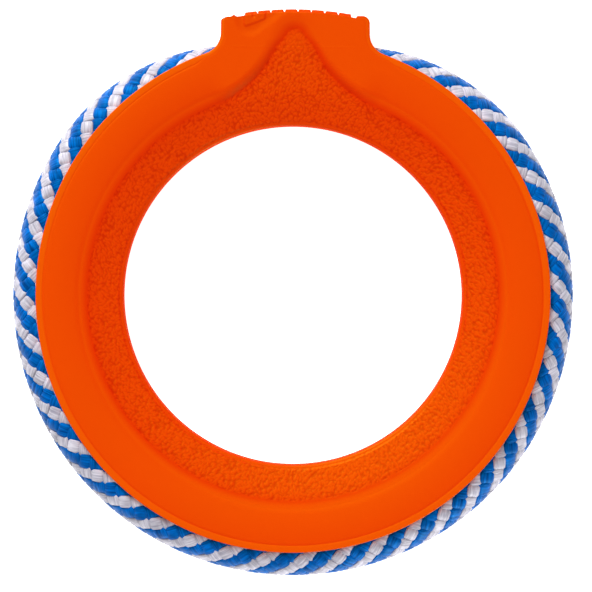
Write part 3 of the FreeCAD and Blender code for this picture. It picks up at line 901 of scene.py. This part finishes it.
def hidden_material(name, dark, light, scale, depth):
    """The core's filler yarn or the adhesive, which show only when the object is opened."""
    finish = Finish(name)
    noise = finish.noise(finish.place("Object"), scale, 4.0)
    colour = finish.ramp(noise, dark, light)
    return finish.finished(colour, finish.spread(noise, 0.6, 0.85), finish.bump(noise, 0.6, depth))


# ---------------------------------------------------------------- the object
ring = make_ring()
ring.data.materials.append(rubber_material())
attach(ring, "root")
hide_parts("ring_body")

blue = yarn_material("rope_blue", BLUE_DARK, BLUE_LIGHT, BLUE_TINT)
white = yarn_material("rope_white", WHITE_DARK, WHITE_LIGHT, WHITE_TINT)
yarns = (("blue", blue, "rope_blue", BLUE_HALF_WIDTH), ("white", white, "rope_white", WHITE_HALF_WIDTH))
for layer, turn, offset in (("a", BRAID_TURN, 90.0), ("b", -BRAID_TURN, 0.0)):
    for number in range(STRAND_COUNT):
        word, material, slot_name, half_width = yarns[number % 2]
        phase = offset + 360.0 / STRAND_COUNT * number
        strand = make_strand(f"strand_{layer}{number + 1}_{word}", turn, phase, half_width)
        strand.data.materials.append(material)
        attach(strand, "root")
        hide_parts("rope_sheath")

core_finish = hidden_material("rope_filler", FILLER_DARK, FILLER_LIGHT, 900.0, 0.0003)
glue_finish = hidden_material("adhesive", GLUE_DARK, GLUE_LIGHT, 300.0, 0.0001)
for node, finish, slot_name in (
    ("rope_core", core_finish, "rope_filler"),
    ("adhesive_plug_left", glue_finish, "adhesive"),
    ("adhesive_plug_right", glue_finish, "adhesive"),
):
    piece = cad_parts[node]
    piece.data.materials.clear()
    piece.data.materials.append(finish)

# ---------------------------------------------------------------- floor, light and camera
FLOOR_HALF = 3.0
FLOOR_GAP = 0.0002
floor_z = cad_low.z - FLOOR_GAP
corners = ((-1, -1), (1, -1), (1, 1), (-1, 1))
floor_mesh = bpy.data.meshes.new("floor")
floor_mesh.from_pydata([(FLOOR_HALF * x, FLOOR_HALF * y, floor_z) for x, y in corners], [], [(0, 1, 2, 3)])
floor = bpy.data.objects.new("floor", floor_mesh)
bpy.context.scene.collection.objects.link(floor)
studio_floor = Finish("studio_floor")
studio_floor.shader.inputs["Base Color"].default_value = (0.92, 0.92, 0.92, 1)
studio_floor.shader.inputs["Roughness"].default_value = 0.9
studio_floor.shader.inputs["Specular IOR Level"].default_value = 0.1
studio_floor.shader.inputs["Emission Color"].default_value = (1.0, 1.0, 1.0, 1)
studio_floor.shader.inputs["Emission Strength"].default_value = 0.9
floor_mesh.materials.append(studio_floor.material)

world = bpy.data.worlds.new("studio")
world.use_nodes = True
world.node_tree.nodes["Background"].inputs["Color"].default_value = (1.0, 1.0, 1.0, 1)
world.node_tree.nodes["Background"].inputs["Strength"].default_value = 0.18
bpy.context.scene.world = world


LIGHT_DISTANCE = 6.0
FILL_DISTANCE = 0.9
LIGHT_AZIMUTH = math.radians(116)


def area_light(name, elevation, distance, azimuth, side, power):
    """A square light that faces the object's middle and isn't seen by the camera."""
    flat = distance * math.cos(math.radians(elevation))
    height = distance * math.sin(math.radians(elevation))
    data = bpy.data.lights.new(name, "AREA")
    data.shape = "SQUARE"
    data.size = side
    data.energy = power
    lamp = bpy.data.objects.new(name, data)
    lamp.location = (flat * math.cos(azimuth), flat * math.sin(azimuth), height)
    lamp.visible_camera = False
    lamp.rotation_mode = "QUATERNION"
    lamp.rotation_quaternion = (-Vector(lamp.location)).to_track_quat("-Z", "Y")
    bpy.context.scene.collection.objects.link(lamp)


area_light("softbox", 72, LIGHT_DISTANCE, LIGHT_AZIMUTH, 4.5, 135.0)
area_light("key", 35, LIGHT_DISTANCE, LIGHT_AZIMUTH, 1.7, 345.0)
area_light("fill", 12, FILL_DISTANCE, LIGHT_AZIMUTH + math.pi, 0.3, 4.6)

CAMERA_DISTANCE = 2.6
CAMERA_ROLL = math.radians(0.5)
CAMERA_X, CAMERA_Y = 0.00123, -0.00029
SENSOR_WIDTH = 36.0
FIELD = 0.2434
FOCUS_SHARE = 0.6
camera_data = bpy.data.cameras.new("camera")
camera_data.sensor_width = SENSOR_WIDTH
camera_data.lens = SENSOR_WIDTH * (CAMERA_DISTANCE - cad_high.z * FOCUS_SHARE) / FIELD
camera_data.clip_start, camera_data.clip_end = 0.1, 20.0
camera = bpy.data.objects.new("camera", camera_data)
camera.location = (CAMERA_X, CAMERA_Y, CAMERA_DISTANCE)
camera.rotation_euler = (0, 0, CAMERA_ROLL)
bpy.context.scene.collection.objects.link(camera)
bpy.context.scene.camera = camera
bpy.context.scene.view_settings.view_transform = "Standard"
bpy.context.scene.view_settings.look = "None"
